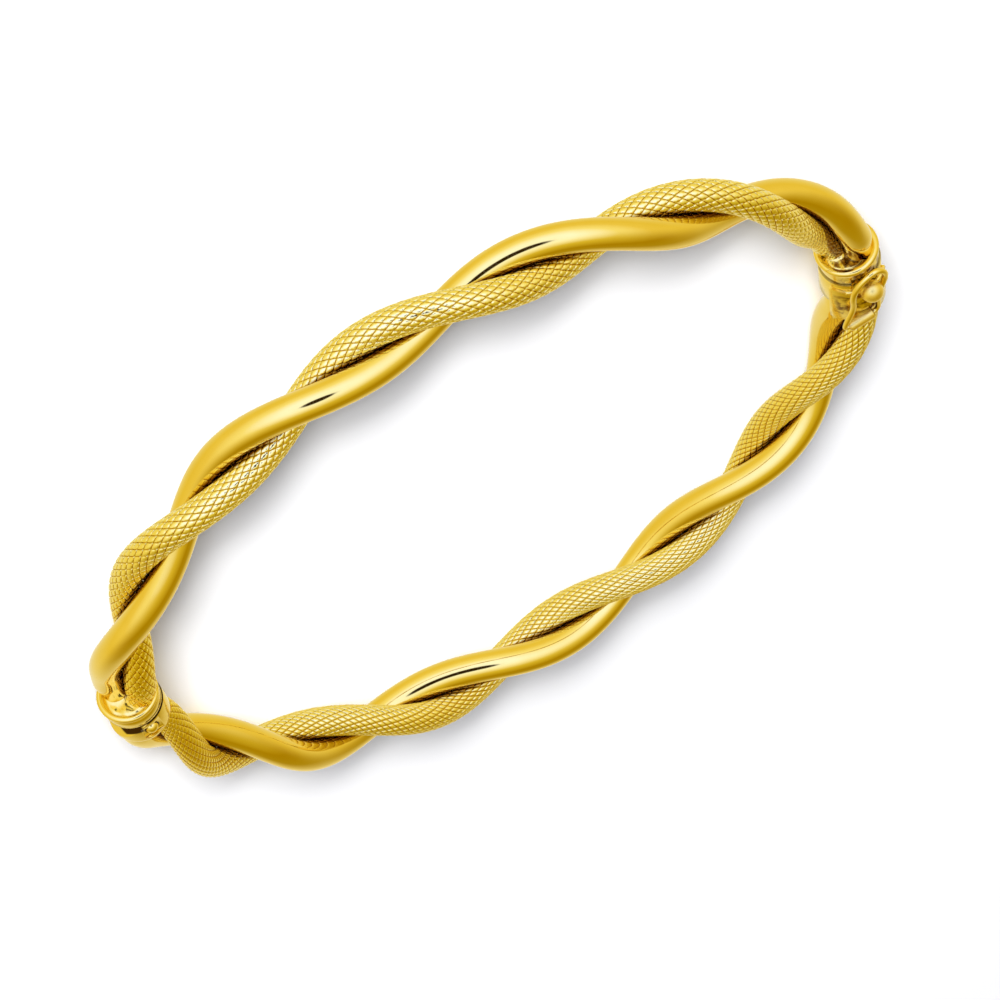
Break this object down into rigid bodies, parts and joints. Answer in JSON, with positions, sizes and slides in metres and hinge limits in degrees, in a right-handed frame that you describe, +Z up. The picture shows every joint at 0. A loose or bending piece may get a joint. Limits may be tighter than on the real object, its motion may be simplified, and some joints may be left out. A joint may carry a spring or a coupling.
{
  "type": "twisted wire bangle",
  "caption": "Hinged oval bangle of smooth and textured tubes twisted together, with rolled-rim end cups, a box clasp with a thumb ball, and a safety wire over it.",
  "frame": {"origin": "in the wrist opening, midway between the hinge end and the clasp end of the tubes' oval centre line, in its middle plane", "axes": "+X towards the clasp, +Y towards the half with the spring tongue, +Z up out of the wrist opening with the bangle lying on its side and the thumb ball on top"},
  "size_m": [0.0667, 0.0569, 0.0062],
  "materials": {
    "polished_gold": "polished yellow gold",
    "textured_gold": "yellow gold with a fine diamond texture"
  },
  "bodies": {
    "box_half": {"smooth_tube_box_half": "polished_gold", "textured_tube_box_half": "textured_gold", "hinge_cap": "polished_gold", "hinge_pin": "polished_gold", "clasp_box": "polished_gold"},
    "tongue_half": {"smooth_tube_tongue_half": "polished_gold", "textured_tube_tongue_half": "textured_gold", "hinge_cup": "polished_gold", "clasp_cup": "polished_gold", "clasp_tongue": "polished_gold"},
    "spring_leaf": {"thumb_leaf": "polished_gold"},
    "safety_loop": {"safety_wire": "polished_gold"}
  },
  "joints": [
    {"name": "hinge_open", "type": "hinge", "parent": "box_half", "child": "tongue_half", "pos_m": [-0.0308, -0.0008, 0], "axis": [0, 0, 1], "range_deg": [0, 40]},
    {"name": "thumb_press", "type": "hinge", "parent": "tongue_half", "child": "spring_leaf", "pos_m": [0.031, -0.00258, 0.00052], "axis": [-1, 0, 0], "range_deg": [0, 6], "stiffness_Nm_per_rad": 0.02},
    {"name": "safety_swing", "type": "hinge", "parent": "box_half", "child": "safety_loop", "pos_m": [0.02965, -0.00437, 0.00281], "axis": [1, 0, 0], "range_deg": [0, 150]}
  ]
}
